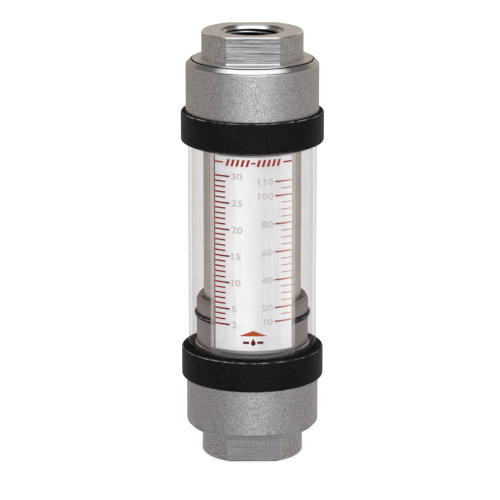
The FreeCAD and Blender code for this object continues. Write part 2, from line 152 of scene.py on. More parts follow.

# Where rubber gets a painted highlight, over its lean: 0 faces down, 0.5 faces outwards, 1 faces up
RIM_HIGHLIGHTS = [
    (0.08, 0.0), (0.12, 0.3), (0.17, 0.3), (0.22, 0.0),
    (0.78, 0.0), (0.82, 1.0), (0.88, 1.0), (0.91, 0.0)]
# Painted highlight along the crown of the indicator band
CROWN_HIGHLIGHT = [(0.53, 0.0), (0.58, 1.0), (0.67, 1.0), (0.73, 0.0)]
TOP_FACE_LEAN = 0.93

# Port thread, which the straight bore of each fitting leaves to this file
THREAD_PITCH = 1.814 * MM
THREAD_DEPTH = 1.15 * MM
THREAD_LENGTH = 15.0 * MM
THREAD_START = 1.58 * MM
THREAD_SEGMENTS = 96
THREAD_WALL = 0.02 * MM

# Floor, the dome behind it, which only the camera sees, and the place that the lights point at
FLOOR_RADIUS = 6.0
DOME_RADIUS = 5.5
LIT_PLACE = (0, 0, 0.09)


def outer_radius(name):
    low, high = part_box(name)
    return (high.x - low.x) / 2


def new_shader(name):
    """A material and the parts of it that the functions below fill in."""
    material = bpy.data.materials.new(name)
    material.use_nodes = True
    tree = material.node_tree
    shader = next(node for node in tree.nodes if node.type == "BSDF_PRINCIPLED")
    return material, tree, shader


def add(tree, kind, **settings):
    """A shader node with its settings, where a name that starts with in_ sets that input."""
    node = tree.nodes.new(kind)
    for key, value in settings.items():
        if key.startswith("in_"):
            node.inputs[key[3:].replace("_", " ")].default_value = value
        else:
            setattr(node, key, value)
    return node


def math_node(tree, operation, first, second=0.0):
    node = tree.nodes.new("ShaderNodeMath")
    node.operation = operation
    for index, value in enumerate((first, second)):
        if isinstance(value, (int, float)):
            node.inputs[index].default_value = value
        else:
            tree.links.new(value, node.inputs[index])
    return node.outputs[0]


def plus(tree, first, second):
    return math_node(tree, "ADD", first, second)


def minus(tree, first, second):
    return math_node(tree, "SUBTRACT", first, second)


def times(tree, first, second):
    return math_node(tree, "MULTIPLY", first, second)


def over(tree, value, limit):
    """1 where value is over limit, 0 elsewhere."""
    return math_node(tree, "GREATER_THAN", value, limit)


def under(tree, value, limit):
    """1 where value is under limit, 0 elsewhere."""
    return math_node(tree, "LESS_THAN", value, limit)


def either(tree, first, second):
    """1 where one of two masks is 1."""
    return math_node(tree, "MAXIMUM", first, second)


def without_sign(tree, value):
    return math_node(tree, "ABSOLUTE", value)


def from_axis(tree, x, y):
    """Distance from the Z axis."""
    return math_node(tree, "SQRT", plus(tree, times(tree, x, x), times(tree, y, y)))


def half_scale(tree, value):
    """A value from -1 to 1, put on the scale from 0 to 1."""
    return plus(tree, times(tree, value, 0.5), 0.5)


def ramp(tree, value, stops):
    """A colour ramp over value, with stops of (place, grey or colour)."""
    node = tree.nodes.new("ShaderNodeValToRGB")
    elements = node.color_ramp.elements
    while len(elements) < len(stops):
        elements.new(0.5)
    for element, (place, colour) in zip(elements, stops):
        element.position = place
        if isinstance(colour, (int, float)):
            colour = (colour, colour, colour)
        element.color = (*colour, 1.0)
    tree.links.new(value, node.inputs["Fac"])
    return node.outputs["Color"]


def mix_colour(tree, factor, first, second):
    node = tree.nodes.new("ShaderNodeMix")
    node.data_type = "RGBA"
    sockets = (node.inputs[0], node.inputs[6], node.inputs[7])
    for socket, value in zip(sockets, (factor, first, second)):
        if isinstance(value, (int, float)):
            socket.default_value = value
        elif isinstance(value, tuple):
            socket.default_value = (*value, 1.0)
        else:
            tree.links.new(value, socket)
    return node.outputs[2]


def place_of(tree):
    """X, Y and Z of the shaded point, in metres, in the piece's own frame."""
    coordinates = tree.nodes.new("ShaderNodeTexCoord")
    split = tree.nodes.new("ShaderNodeSeparateXYZ")
    tree.links.new(coordinates.outputs["Object"], split.inputs[0])
    return coordinates.outputs["Object"], split.outputs


def stretched(tree, vector, scale):
    mapping = add(tree, "ShaderNodeMapping")
    mapping.inputs["Scale"].default_value = scale
    tree.links.new(vector, mapping.inputs["Vector"])
    return mapping.outputs["Vector"]


def noise(tree, vector, scale, detail=2.0, roughness=0.5):
    node = add(tree, "ShaderNodeTexNoise", in_Scale=scale, in_Detail=detail, in_Roughness=roughness)
    tree.links.new(vector, node.inputs["Vector"])
    return node.outputs["Fac"]


def bump(tree, shader, height, distance, strength):
    node = add(tree, "ShaderNodeBump", in_Strength=strength, in_Distance=distance)
    tree.links.new(height, node.inputs["Height"])
    tree.links.new(node.outputs["Normal"], shader.inputs["Normal"])


def normal_of(tree):
    """X, Y and Z of the surface's own normal."""
    coordinates = tree.nodes.new("ShaderNodeTexCoord")
    split = tree.nodes.new("ShaderNodeSeparateXYZ")
    tree.links.new(coordinates.outputs["Normal"], split.inputs[0])
    return split.outputs


def milled_lines(tree, vector):
    """Lines across a milled flat: long ones broken by shorter ones."""
    long_lines = noise(tree, stretched(tree, vector, (12.0, 12.0, 3400.0)), 1.0, 1.0, 0.5)
    short_lines = noise(tree, stretched(tree, vector, (140.0, 140.0, 3800.0)), 1.0, 1.0, 0.5)
    return times(tree, plus(tree, long_lines, short_lines), 0.5)


def turned_rings(tree, across):
    """Fine rings round the axis."""
    rings = add(tree, "ShaderNodeTexNoise", noise_dimensions="1D", in_Scale=4200.0, in_Detail=2.0)
    tree.links.new(across, rings.inputs["W"])
    return rings.outputs["Fac"]


def blasted_aluminium():
    """Bead-blasted casting alloy: fine grain, milled lines on the wrench flats, turned end faces."""
    material, tree, shader = new_shader("blasted_aluminium")
    vector, (x, y, z) = place_of(tree)
    rise = normal_of(tree)[2]
    upright = without_sign(tree, rise)
    across = from_axis(tree, x, y)
    from_middle = without_sign(tree, minus(tree, z, MIDDLE_HEIGHT))
    off_flat = minus(tree, without_sign(tree, y), FLAT_HALF_WIDTH)
    top = 2 * MIDDLE_HEIGHT

    # Masks, each 1 on its own part of the surface
    at_inlet = under(tree, z, MIDDLE_HEIGHT)
    on_boss = over(tree, from_middle, MIDDLE_HEIGHT - BOSS_LENGTH - FLAT_MASK)
    on_flat = times(tree, on_boss, under(tree, without_sign(tree, off_flat), FLAT_MASK))
    flat_foot = under(tree, from_middle, MIDDLE_HEIGHT - BOSS_LENGTH + FLAT_FOOT_LINE)
    flat_end = over(tree, z, top - FLAT_END_LINE)
    # Painted highlight: bright lines along the foot and the upper end of each flat
    painted_edge_highlight = times(tree, on_flat, either(tree, flat_foot, flat_end))
    # Painted shade: a dark contact shadow along the meter's foot
    foot_shadow = under(tree, z, FOOT_SHADOW_HEIGHT)
    level_face = over(tree, upright, LEVEL)
    leaning = times(tree, over(tree, upright, BARELY_LEANING), under(tree, upright, LEVEL))
    at_port = under(tree, across, COUNTERSINK_REACH)
    machined = times(tree, leaning, either(tree, over(tree, rise, 0.0), at_port))
    # Painted shade inside the rim groove
    off_groove = without_sign(tree, minus(tree, across, RIM_GROOVE_RADIUS))
    groove_shade = under(tree, off_groove, RIM_GROOVE_WIDTH / 2 + RIM_GROOVE_SPARE)
    # Painted highlight along the top rim of the upper boss and of its flats
    boss_edge = either(
        tree, over(tree, across, BOSS_RADIUS - 2 * BOSS_RIM_LINE), over(tree, off_flat, -BOSS_RIM_LINE))
    boss_rim_highlight = times(tree, boss_edge, over(tree, z, top - BOSS_RIM_LINE))

    # Colour, one layer over the other
    grain = noise(tree, vector, 2300.0, 3.0, 0.7)
    blotch = noise(tree, vector, 240.0, 2.0, 0.5)
    lines = milled_lines(tree, vector)
    fine = ramp(tree, grain, [(0.37, (0.150, 0.143, 0.137)), (0.63, (0.785, 0.775, 0.775))])
    broad = ramp(tree, blotch, [(0.35, (0.435, 0.420, 0.405)), (0.65, (0.490, 0.482, 0.490))])
    evenness = minus(tree, 0.30, times(tree, on_boss, 0.20))
    colour = mix_colour(tree, evenness, fine, broad)
    milled = ramp(tree, lines, [(0.40, 0.04), (0.60, 0.46)])
    dull_grain = ramp(tree, grain, [(0.37, 0.06), (0.63, 0.48)])
    milled = mix_colour(tree, times(tree, at_inlet, 0.65), milled, dull_grain)
    colour = mix_colour(tree, times(tree, on_flat, 0.78), colour, milled)
    # Painted highlight lines on the flats
    colour = mix_colour(tree, painted_edge_highlight, colour, (0.92, 0.92, 0.93))
    # Painted contact shadow at the foot
    colour = mix_colour(tree, times(tree, foot_shadow, 0.8), colour, (0.05, 0.048, 0.045))
    turned = ramp(tree, math_node(tree, "DIVIDE", across, COUNTERSINK_REACH), [
        (0.0, (0.62, 0.62, 0.63)), (0.83, (0.62, 0.62, 0.63)), (0.86, 0.26), (0.97, 0.26),
        (1.0, (0.52, 0.52, 0.53))])
    colour = mix_colour(tree, machined, colour, turned)
    colour = mix_colour(tree, times(tree, level_face, 0.5), colour, (0.98, 0.96, 0.93))
    # Painted shade that fills the rim groove
    colour = mix_colour(tree, groove_shade, colour, (0.03, 0.03, 0.028))
    # Painted highlight on the upper boss's rim
    colour = mix_colour(tree, boss_rim_highlight, colour, (0.95, 0.94, 0.92))
    tree.links.new(colour, shader.inputs["Base Color"])

    # Relief: grain where it is blasted, rings on the end faces, lines on the flats
    height = plus(
        tree, times(tree, grain, minus(tree, 1.0, machined)),
        times(tree, turned_rings(tree, across), level_face))
    height = plus(tree, height, times(tree, lines, times(tree, on_flat, 1.6)))
    bump(tree, shader, height, 0.024 * MM, 0.8)
    rough = plus(tree, 0.36, times(tree, grain, 0.10))
    tree.links.new(minus(tree, rough, times(tree, machined, 0.24)), shader.inputs["Roughness"])
    shader.inputs["Metallic"].default_value = 1.0
    return material


def turned_metal(name, dark, light, roughness, lay_scale):
    """Turned or drawn metal whose fine lines run round the axis."""
    material, tree, shader = new_shader(name)
    vector, _ = place_of(tree)
    lines = noise(tree, stretched(tree, vector, (40.0, 40.0, lay_scale)), 1.0, 3.0, 0.65)
    cloud = noise(tree, vector, 120.0, 2.0, 0.5)
    both = plus(tree, times(tree, lines, 0.7), times(tree, cloud, 0.3))
    tree.links.new(ramp(tree, both, [(0.30, dark), (0.70, light)]), shader.inputs["Base Color"])
    tree.links.new(plus(tree, times(tree, lines, 0.12), roughness), shader.inputs["Roughness"])
    bump(tree, shader, lines, 0.006 * MM, 0.4)
    shader.inputs["Metallic"].default_value = 1.0
    return material


def cut_thread_metal():
    """Cut thread with a painted highlight on its crests and painted shade in its roots."""
    material, tree, shader = new_shader("thread_metal")
    vector, (x, y, _) = place_of(tree)
    rise = math_node(tree, "DIVIDE", minus(tree, PORT_BORE, from_axis(tree, x, y)), THREAD_DEPTH)
    shade_jitter = times(tree, minus(tree, noise(tree, vector, 700.0), 0.5), 0.25)
    # Painted shade in the roots and a painted highlight on the crests, by depth, made ragged by noise
    colour = ramp(tree, plus(tree, rise, shade_jitter), [
        (0.10, (0.035, 0.034, 0.030)), (0.55, (0.30, 0.29, 0.28)), (0.85, (0.92, 0.91, 0.90))])
    tree.links.new(colour, shader.inputs["Base Color"])
    shader.inputs["Roughness"].default_value = 0.24
    shader.inputs["Metallic"].default_value = 1.0
    return material


def moulded_rubber(name, dark, light, highlight_colour, where_highlit, roughness, grain_scale, grain_depth, gloss):
    """Black rubber with the fine mottle of its mould, and a painted grey highlight, broken by noise and
    smoother, along the rims that its lean ramp picks.
    """
    material, tree, shader = new_shader(name)
    vector, _ = place_of(tree)
    lean = half_scale(tree, normal_of(tree)[2])
    grain = noise(tree, vector, grain_scale, 3.0, 0.6)
    cloud = noise(tree, vector, 90.0, 2.0, 0.5)
    broken = ramp(tree, noise(tree, vector, 300.0, 3.0, 0.7), [(0.44, 0.1), (0.60, 1.0)])
    # Painted highlight along the rims, broken by noise
    painted_highlight = times(tree, ramp(tree, lean, where_highlit), broken)
    speckle = ramp(tree, grain, [(0.42, 0.0), (0.62, tuple(2.2 * value for value in light))])
    plain = mix_colour(tree, 0.5, ramp(tree, cloud, [(0.35, dark), (0.70, light)]), speckle)
    tree.links.new(mix_colour(tree, painted_highlight, plain, highlight_colour), shader.inputs["Base Color"])
    spread = minus(tree, times(tree, grain, 0.14), times(tree, painted_highlight, 0.10))
    spread = plus(tree, spread, times(tree, over(tree, lean, TOP_FACE_LEAN), 0.30))
    tree.links.new(plus(tree, spread, roughness), shader.inputs["Roughness"])
    bump(tree, shader, grain, grain_depth, 0.5)
    shader.inputs["Specular IOR Level"].default_value = gloss
    return material


def clear_plastic(name, tint, haze_tint, through, edge, back_haze, hazy_above, roughness):
    """Clear polycarbonate: nearly clear face on, greyer at its edges, and hazy behind the axis.

    through is how much face-on light it stops, edge the same at its edges for its inner and outer
    skin, and below hazy_above it is a fifth as dense.
    """
    material, tree, shader = new_shader(name)
    vector, (x, y, z) = place_of(tree)
    outer_skin = over(tree, from_axis(tree, x, y), GUARD_MID_WALL)
    edge_gain = plus(tree, times(tree, outer_skin, edge[1] - edge[0]), edge[0] - through)
    cloud = noise(tree, vector, 160.0, 2.0, 0.5)
    scratches = noise(tree, stretched(tree, vector, (900.0, 900.0, 25.0)), 1.0, 3.0, 0.7)
    tree.links.new(plus(tree, times(tree, scratches, 0.10), roughness), shader.inputs["Roughness"])
    bump(tree, shader, scratches, 0.002 * MM, 0.3)
    weight = add(tree, "ShaderNodeLayerWeight", in_Blend=0.35)
    rim = math_node(tree, "POWER", weight.outputs["Facing"], 3.0)
    backwards = plus(tree, math_node(tree, "DIVIDE", y, 2 * GUARD_MID_WALL), 0.5)
    behind = ramp(tree, backwards, [(0.42, 0.0), (0.58, 1.0)])
    tree.links.new(mix_colour(tree, behind, tint, haze_tint), shader.inputs["Base Color"])
    speckle = noise(tree, vector, 1500.0, 3.0, 0.7)
    alpha = plus(tree, times(tree, rim, edge_gain), through)
    alpha = plus(tree, alpha, times(tree, cloud, 0.03))
    alpha = plus(tree, alpha, times(tree, minus(tree, scratches, 0.5), 0.12))
    alpha = plus(tree, alpha, times(tree, behind, times(tree, speckle, 2 * back_haze)))
    alpha = times(tree, alpha, plus(tree, times(tree, over(tree, z, hazy_above), 0.8), 0.2))
    tree.links.new(alpha, shader.inputs["Alpha"])
    shader.inputs["IOR"].default_value = 1.58
    return material


def printed_sheet():
    """Pearl white sheet with a painted shadow line at its left edge, a painted highlight band left of its
    middle, painted light brightening its right edge, and a faint mottle.
    """
    material, tree, shader = new_shader("printed_sheet")
    vector, (x, _, _) = place_of(tree)
    mottle = noise(tree, vector, 320.0, 2.0, 0.5)
    across = plus(tree, math_node(tree, "DIVIDE", x, 2 * SHEET_RADIUS), 0.5)
    # Painted light across the sheet: a dark painted shadow line at the left edge, a painted highlight band,
    # a brighter right edge
    painted_light = ramp(tree, across, [
        (0.188, 0.04), (0.192, 0.77), (0.28, 0.785), (0.37, 0.91), (0.45, 0.91), (0.57, 0.75),
        (0.70, 0.80), (0.76, 0.91), (0.81, 0.98)])
    speck = ramp(tree, mottle, [(0.35, 0.96), (0.65, 1.0)])
    tree.links.new(mix_colour(tree, speck, (0.0, 0.0, 0.0), painted_light), shader.inputs["Base Color"])
    grain = noise(tree, vector, 2600.0, 2.0, 0.5)
    bump(tree, shader, grain, 0.002 * MM, 0.4)
    shader.inputs["Roughness"].default_value = 0.42
    return material


def ink(name, dark, light, edge_light_colour=None):
    """Silk-screen ink whose cover varies a little, and which, where an edge colour is given, is painted
    lighter towards the sheet's edges as painted light.
    """
    material, tree, shader = new_shader(name)
    vector, (x, _, _) = place_of(tree)
    cover = noise(tree, vector, 1500.0, 2.0, 0.6)
    colour = ramp(tree, cover, [(0.35, dark), (0.65, light)])
    if edge_light_colour is not None:
        # Painted light: the ink is painted lighter towards the sheet's edges
        outwards = math_node(tree, "DIVIDE", without_sign(tree, x), SHEET_RADIUS)
        colour = mix_colour(tree, ramp(tree, outwards, [(0.40, 0.0), (0.62, 1.0)]), colour, edge_light_colour)
    tree.links.new(colour, shader.inputs["Base Color"])
    shader.inputs["Roughness"].default_value = 0.5
    shader.inputs["Specular IOR Level"].default_value = 0.12
    return material


def magnet_ceramic():
    """Sintered ferrite: dark grey, slightly grainy."""
    material, tree, shader = new_shader("magnet_ceramic")
    vector, _ = place_of(tree)
    grain = noise(tree, vector, 1800.0, 3.0, 0.6)
    tree.links.new(ramp(tree, grain, [(0.3, 0.035), (0.7, 0.075)]), shader.inputs["Base Color"])
    bump(tree, shader, grain, 0.01 * MM, 0.5)
    shader.inputs["Roughness"].default_value = 0.6
    return material


def mesh_object(name, mesh, material):
    obj = bpy.data.objects.new(name, mesh)
    bpy.context.scene.collection.objects.link(obj)
    mesh.materials.append(material)
    return obj


def on_sheet(arc, height, lift):
    """The point on the scale sheet at this arc from its middle and this height, lift above it."""
    radius = SHEET_RADIUS + lift
    angle = math.radians(-90.0) + arc / SHEET_RADIUS
    return Vector((radius * math.cos(angle), radius * math.sin(angle), SHEET_FOOT + height))


def print_shape(builder, outline):
    """A flat printed patch with this outline of (arc, height) points, wrapped on the sheet."""
    back = [builder.verts.new(on_sheet(arc, height, PRINT_STANDOFF)) for arc, height in outline]
    front = [
        builder.verts.new(on_sheet(arc, height, PRINT_STANDOFF + PRINT_THICKNESS))
        for arc, height in outline]
    builder.faces.new(front)
    builder.faces.new(back[::-1])
    count = len(outline)
    for index in range(count):
        after = (index + 1) % count
        builder.faces.new((back[index], back[after], front[after], front[index]))


def print_bar(builder, left, right, low, high):
    """A printed bar, cut into short lengths that follow the sheet's curve."""
    pieces = max(1, math.ceil((right - left) / PRINT_STEP))
    step = (right - left) / pieces
    for index in range(pieces):
        start = left + index * step
        print_shape(builder, [
            (start, low), (start + step, low), (start + step, high), (start, high)])


def finish_print(builder, name, material):
    mesh = bpy.data.meshes.new(name)
    bmesh.ops.remove_doubles(builder, verts=builder.verts, dist=1e-7)
    bmesh.ops.recalc_face_normals(builder, faces=builder.faces)
    builder.to_mesh(mesh)
    builder.free()
    obj = mesh_object(name, mesh, material)
    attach(obj, "guard")
    return obj


def mark_height(value, first, unit):
    return FIRST_MARK_HEIGHT + (value - first) * unit


def left_ticks(material):
    builder = bmesh.new()
    edge = -SHEET_ARC + SHEET_MARGIN
    for value in range(LEFT_FIRST, LEFT_LAST + 1):
        length = LEFT_LONG_TICK if value in LEFT_LABELS else LEFT_SHORT_TICK
        half = WIDE_TICK_WIDTH / 2 if value in LEFT_LABELS else TICK_WIDTH / 2
        height = mark_height(value, LEFT_FIRST, LEFT_UNIT)
        print_bar(builder, edge, edge + length, height - half, height + half)
    return finish_print(builder, "left_ticks", material)


def right_height(value):
    unit = LEFT_UNIT / RIGHT_UNITS_PER_LEFT
    return mark_height(value, RIGHT_FIRST, unit) + RIGHT_OFFSET


def right_ticks(name, values, length, width, material):
    builder = bmesh.new()
    edge = SHEET_ARC - SHEET_MARGIN
    for value in values:
        height = right_height(value)
        print_bar(builder, edge - length, edge, height - width / 2, height + width / 2)
    return finish_print(builder, name, material)


def digits_mesh(text):
    """Plain digits as a flat mesh."""
    curve = bpy.data.curves.new("digits", "FONT")
    curve.body = text
    curve.resolution_u = 3
    curve.offset = DIGIT_WEIGHT
    holder = bpy.data.objects.new("digits", curve)
    bpy.context.scene.collection.objects.link(holder)
    bpy.context.view_layer.update()
    evaluated = holder.evaluated_get(bpy.context.evaluated_depsgraph_get())
    mesh = bpy.data.meshes.new_from_object(evaluated)
    bpy.data.objects.remove(holder)
    bpy.data.curves.remove(curve)
    return mesh


def numbers(name, labels, material, height_of, inner_edge, to_the_right):
    """The scale's numbers, whose near side to the ticks is at inner_edge."""
    builder = bmesh.new()
    for value in labels:
        flat = digits_mesh(str(value))
        piece = bmesh.new()
        piece.from_mesh(flat)
        bpy.data.meshes.remove(flat)
        low_x = min(vert.co.x for vert in piece.verts)
        high_x = max(vert.co.x for vert in piece.verts)
        low_y = min(vert.co.y for vert in piece.verts)
        high_y = max(vert.co.y for vert in piece.verts)
        scale = DIGIT_HEIGHT / (high_y - low_y)
        width = (high_x - low_x) * scale * DIGIT_STRETCH
        start = inner_edge if to_the_right else inner_edge - width
        shell = bmesh.ops.extrude_face_region(piece, geom=piece.faces[:])
        raised = {element for element in shell["geom"] if isinstance(element, bmesh.types.BMVert)}
        for vert in piece.verts:
            arc = start + (vert.co.x - low_x) * scale * DIGIT_STRETCH
            height = height_of(value) + (vert.co.y - (low_y + high_y) / 2) * scale
            lift = PRINT_STANDOFF + (PRINT_THICKNESS if vert in raised else 0.0)
            vert.co = on_sheet(arc, height, lift)
        part = bpy.data.meshes.new("part")
        piece.to_mesh(part)
        piece.free()
        builder.from_mesh(part)
        bpy.data.meshes.remove(part)
    return finish_print(builder, name, material)


def header(material):
    """Plain heading of the scale: a thin line at each side, slanted bars and a dash between."""
    builder = bmesh.new()
    line_low = HEADER_HEIGHT - TICK_WIDTH / 2
    line_high = HEADER_HEIGHT + TICK_WIDTH / 2
    side_line = HEADER_HALF_WIDTH + HEADER_GAP
    print_bar(builder, -SHEET_ARC + SHEET_MARGIN, -side_line, line_low, line_high)
    print_bar(builder, side_line, SHEET_ARC - SHEET_MARGIN, line_low, line_high)
    print_bar(builder, -HEADER_DASH_HALF, HEADER_DASH_HALF, line_low, line_high)
    low = HEADER_HEIGHT - HEADER_BAR_HEIGHT / 2
    high = HEADER_HEIGHT + HEADER_BAR_HEIGHT / 2
    row = (HEADER_BARS_A_SIDE - 1) * HEADER_BAR_PITCH
    for side in (-1, 1):
        middle = side * (HEADER_HALF_WIDTH + HEADER_DASH_HALF) / 2
        first = middle - row / 2 - (HEADER_BAR_WIDTH + HEADER_BAR_LEAN) / 2
        for index in range(HEADER_BARS_A_SIDE):
            left = first + index * HEADER_BAR_PITCH
            right = left + HEADER_BAR_WIDTH
            print_shape(builder, [
                (left, low), (right, low), (right + HEADER_BAR_LEAN, high), (left + HEADER_BAR_LEAN, high)])
    return finish_print(builder, "scale_header", material)


def flow_arrow(material):
    """Wide low triangle that shows the flow's direction."""
    builder = bmesh.new()
    half = ARROW_WIDTH / 2
    for index in range(ARROW_STEPS):
        left = -half + index * ARROW_WIDTH / ARROW_STEPS
        right = left + ARROW_WIDTH / ARROW_STEPS
        left_top, right_top = (ARROW_FOOT + ARROW_RISE * (1 - abs(arc) / half) for arc in (left, right))
        outline = [(left, ARROW_FOOT), (right, ARROW_FOOT)]
        if right_top - ARROW_FOOT > 1e-6:
            outline.append((right, right_top))
        if left_top - ARROW_FOOT > 1e-6:
            outline.append((left, left_top))
        print_shape(builder, outline)
    return finish_print(builder, "flow_arrow", material)


def fluid_mark(material):
    """Plain drop between two short bars, below the arrow."""
    builder = bmesh.new()
    radius = DROP_HEIGHT * DROP_RADIUS_SHARE
    centre = DROP_FOOT + radius
    outline = [(0.0, DROP_FOOT + DROP_HEIGHT)]
    for index in range(DROP_STEPS + 1):
        angle = math.radians(DROP_SHOULDER_DEG - DROP_SWEEP_DEG * index / DROP_STEPS)
        outline.append((radius * math.cos(angle), centre + radius * math.sin(angle)))
    print_shape(builder, outline[::-1])
    middle = DROP_FOOT + DROP_HEIGHT * MARK_BAR_SHARE
    for side in (-1, 1):
        ends = sorted((side * MARK_BAR_OFFSET, side * (MARK_BAR_OFFSET + MARK_BAR_LENGTH)))
        print_bar(builder, *ends, middle - MARK_BAR_HALF_WIDTH, middle + MARK_BAR_HALF_WIDTH)
    return finish_print(builder, "fluid_mark", material)


def port_thread(name, mouth, inward, bore, material):
    """Helical thread just inside a port's bore, as a closed sleeve. inward is +1 or -1 along Z."""
    builder = bmesh.new()
    turns = math.ceil(THREAD_LENGTH / THREAD_PITCH) + 3
    root = bore - 2 * THREAD_WALL
    crest = bore - THREAD_DEPTH
    profile = ((0.00, root), (0.07, root), (0.43, crest), (0.57, crest), (0.93, root))
    rows = []
    for turn in range(turns):
        for share, radius in profile:
            row = []
            for index in range(THREAD_SEGMENTS + 1):
                angle = inward * 2 * math.pi * index / THREAD_SEGMENTS
                height = (turn - 1.5 + share + index / THREAD_SEGMENTS) * THREAD_PITCH
                row.append(builder.verts.new((
                    radius * math.cos(angle), radius * math.sin(angle),
                    mouth + inward * (THREAD_START + height))))
            rows.append(row)
    for low, high in zip(rows, rows[1:]):
        for index in range(THREAD_SEGMENTS):
            builder.faces.new((low[index], low[index + 1], high[index + 1], high[index]))
    bmesh.ops.remove_doubles(builder, verts=builder.verts, dist=1e-7)
    ends = (mouth + inward * THREAD_START, mouth + inward * (THREAD_START + THREAD_LENGTH))
    for level, outward in zip(ends, (-inward, inward)):
        everything = builder.verts[:] + builder.edges[:] + builder.faces[:]
        bmesh.ops.bisect_plane(
            builder, geom=everything, plane_co=(0, 0, level), plane_no=(0, 0, outward),
            clear_outer=True)
    outer_loops = []
    for level in ends:
        rim = [edge for edge in builder.edges if edge.is_boundary
               and all(abs(vert.co.z - level) < 1e-6 for vert in edge.verts)]
        grown = bmesh.ops.extrude_edge_only(builder, edges=rim)["geom"]
        for element in grown:
            if isinstance(element, bmesh.types.BMVert):
                radial = Vector((element.co.x, element.co.y, 0)).normalized()
                element.co = radial * (bore - THREAD_WALL) + Vector((0, 0, level))
        outer_loops += [element for element in grown if isinstance(element, bmesh.types.BMEdge)]
    bmesh.ops.bridge_loops(builder, edges=outer_loops)
    bmesh.ops.recalc_face_normals(builder, faces=builder.faces)
    mesh = bpy.data.meshes.new(name)
    builder.to_mesh(mesh)
    builder.free()
    obj = mesh_object(name, mesh, material)
    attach(obj, "meter_body")
    return obj


def dress(names, material):
    for name in names:
        slots = nodes[name].data.materials
        slots.clear()
        slots.append(material)


def spring_follows_piston():
    """Gives the return spring a mesh of its own."""
    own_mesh(nodes["return_spring"])


def floor_and_backdrop():
    """Pale floor, and a white dome that only the camera sees."""
    bpy.ops.mesh.primitive_circle_add(
        vertices=96, radius=FLOOR_RADIUS, fill_type="NGON", location=(0, 0, cad_box[0].z))
    floor = bpy.context.object
    floor.name = "floor"
    material, tree, shader = new_shader("pale_floor")
    vector, _ = place_of(tree)
    mottle = noise(tree, vector, 3.0, 2.0, 0.5)
    tree.links.new(ramp(tree, mottle, [(0.3, 0.40), (0.7, 0.44)]), shader.inputs["Base Color"])
    shader.inputs["Roughness"].default_value = 1.0
    shader.inputs["Specular IOR Level"].default_value = 0.0
    shader.inputs["Emission Color"].default_value = (1.0, 1.0, 1.0, 1.0)
    shader.inputs["Emission Strength"].default_value = 0.80
    floor.data.materials.append(material)
    floor.visible_glossy = False
    bpy.ops.mesh.primitive_uv_sphere_add(segments=64, ring_count=32, radius=DOME_RADIUS)
    dome = bpy.context.object
    dome.name = "white_dome"
    white = bpy.data.materials.new("white_backdrop")
    white.use_nodes = True
    tree = white.node_tree
    tree.nodes.clear()
    glow = add(tree, "ShaderNodeEmission", in_Strength=1.0)
    glow.inputs["Color"].default_value = (1.0, 1.0, 1.0, 1.0)
    output = tree.nodes.new("ShaderNodeOutputMaterial")
    tree.links.new(glow.outputs[0], output.inputs["Surface"])
    dome.data.materials.append(white)
    dome.visible_diffuse = False
    dome.visible_glossy = False
    dome.visible_transmission = False
    dome.visible_shadow = False
    dome.visible_volume_scatter = False


def studio_world():
    """Surroundings that the metal mirrors: bright in front, dim above the horizon, bright overhead.

    around runs from 0 behind the meter to 1 in front of it, height from 0 below to 1 overhead.
    """
    world = bpy.data.worlds.new("studio")
    bpy.context.scene.world = world
    world.use_nodes = True
    tree = world.node_tree
    background = next(node for node in tree.nodes if node.type == "BACKGROUND")
    coordinates = tree.nodes.new("ShaderNodeTexCoord")
    split = tree.nodes.new("ShaderNodeSeparateXYZ")
    tree.links.new(coordinates.outputs["Generated"], split.inputs[0])
    x, y, z = split.outputs
    level = math_node(tree, "MAXIMUM", from_axis(tree, x, y), 0.05)
    front = math_node(tree, "DIVIDE", minus(tree, times(tree, x, 0.12), y), level)
    around = half_scale(tree, front)
    left = ramp(tree, around, [
        (0.00, (0.50, 0.43, 0.37)), (0.30, (0.49, 0.425, 0.37)), (0.55, (0.58, 0.52, 0.46)),
        (0.68, (0.32, 0.30, 0.30)), (0.80, (0.58, 0.57, 0.59)), (0.92, (1.36, 1.34, 1.40)),
        (1.00, (2.25, 2.21, 2.30))])
    right = ramp(tree, around, [
        (0.00, (0.62, 0.56, 0.48)), (0.30, (0.53, 0.48, 0.42)), (0.62, (0.53, 0.49, 0.45)),
        (0.78, (0.48, 0.46, 0.45)), (0.92, (1.16, 1.14, 1.18)), (1.00, (2.25, 2.21, 2.30))])
    on_the_right = over(tree, x, 0.0)
    horizon = mix_colour(tree, on_the_right, left, right)
    height = half_scale(tree, z)
    low = ramp(tree, height, [(0.0, 1.0), (0.37, 1.0), (0.41, 0.0), (1.0, 0.0)])
    bench = ramp(tree, height, [
        (0.0, (0.54, 0.53, 0.55)), (0.14, (0.54, 0.53, 0.55)), (0.22, (0.27, 0.26, 0.27)),
        (0.30, (0.36, 0.35, 0.37)), (0.35, (0.66, 0.64, 0.66))])
    glow = ramp(tree, around, [(0.0, 0.10), (0.62, 0.10), (0.72, 0.32), (0.82, 0.32), (0.92, 0.0)])
    bench = mix_colour(tree, times(tree, on_the_right, glow), bench, (1.0, 1.0, 1.0))
    nearer = ramp(tree, around, [(0.0, 0.0), (0.80, 0.0), (0.93, 0.55)])
    bench = mix_colour(tree, nearer, bench, (0.0, 0.0, 0.0))
    horizon = mix_colour(tree, low, horizon, bench)
    dim = ramp(tree, height, [(0.0, 0.0), (0.70, 0.0), (0.77, 1.0), (1.0, 1.0)])
    zenith = ramp(tree, height, [(0.0, 0.0), (0.90, 0.0), (0.95, 1.0), (1.0, 1.0)])
    walls = mix_colour(tree, dim, horizon, (0.22, 0.21, 0.20))
    sky = mix_colour(tree, zenith, walls, (1.9, 1.9, 1.9))
    tree.links.new(sky, background.inputs["Color"])
    background.inputs["Strength"].default_value = 1.0


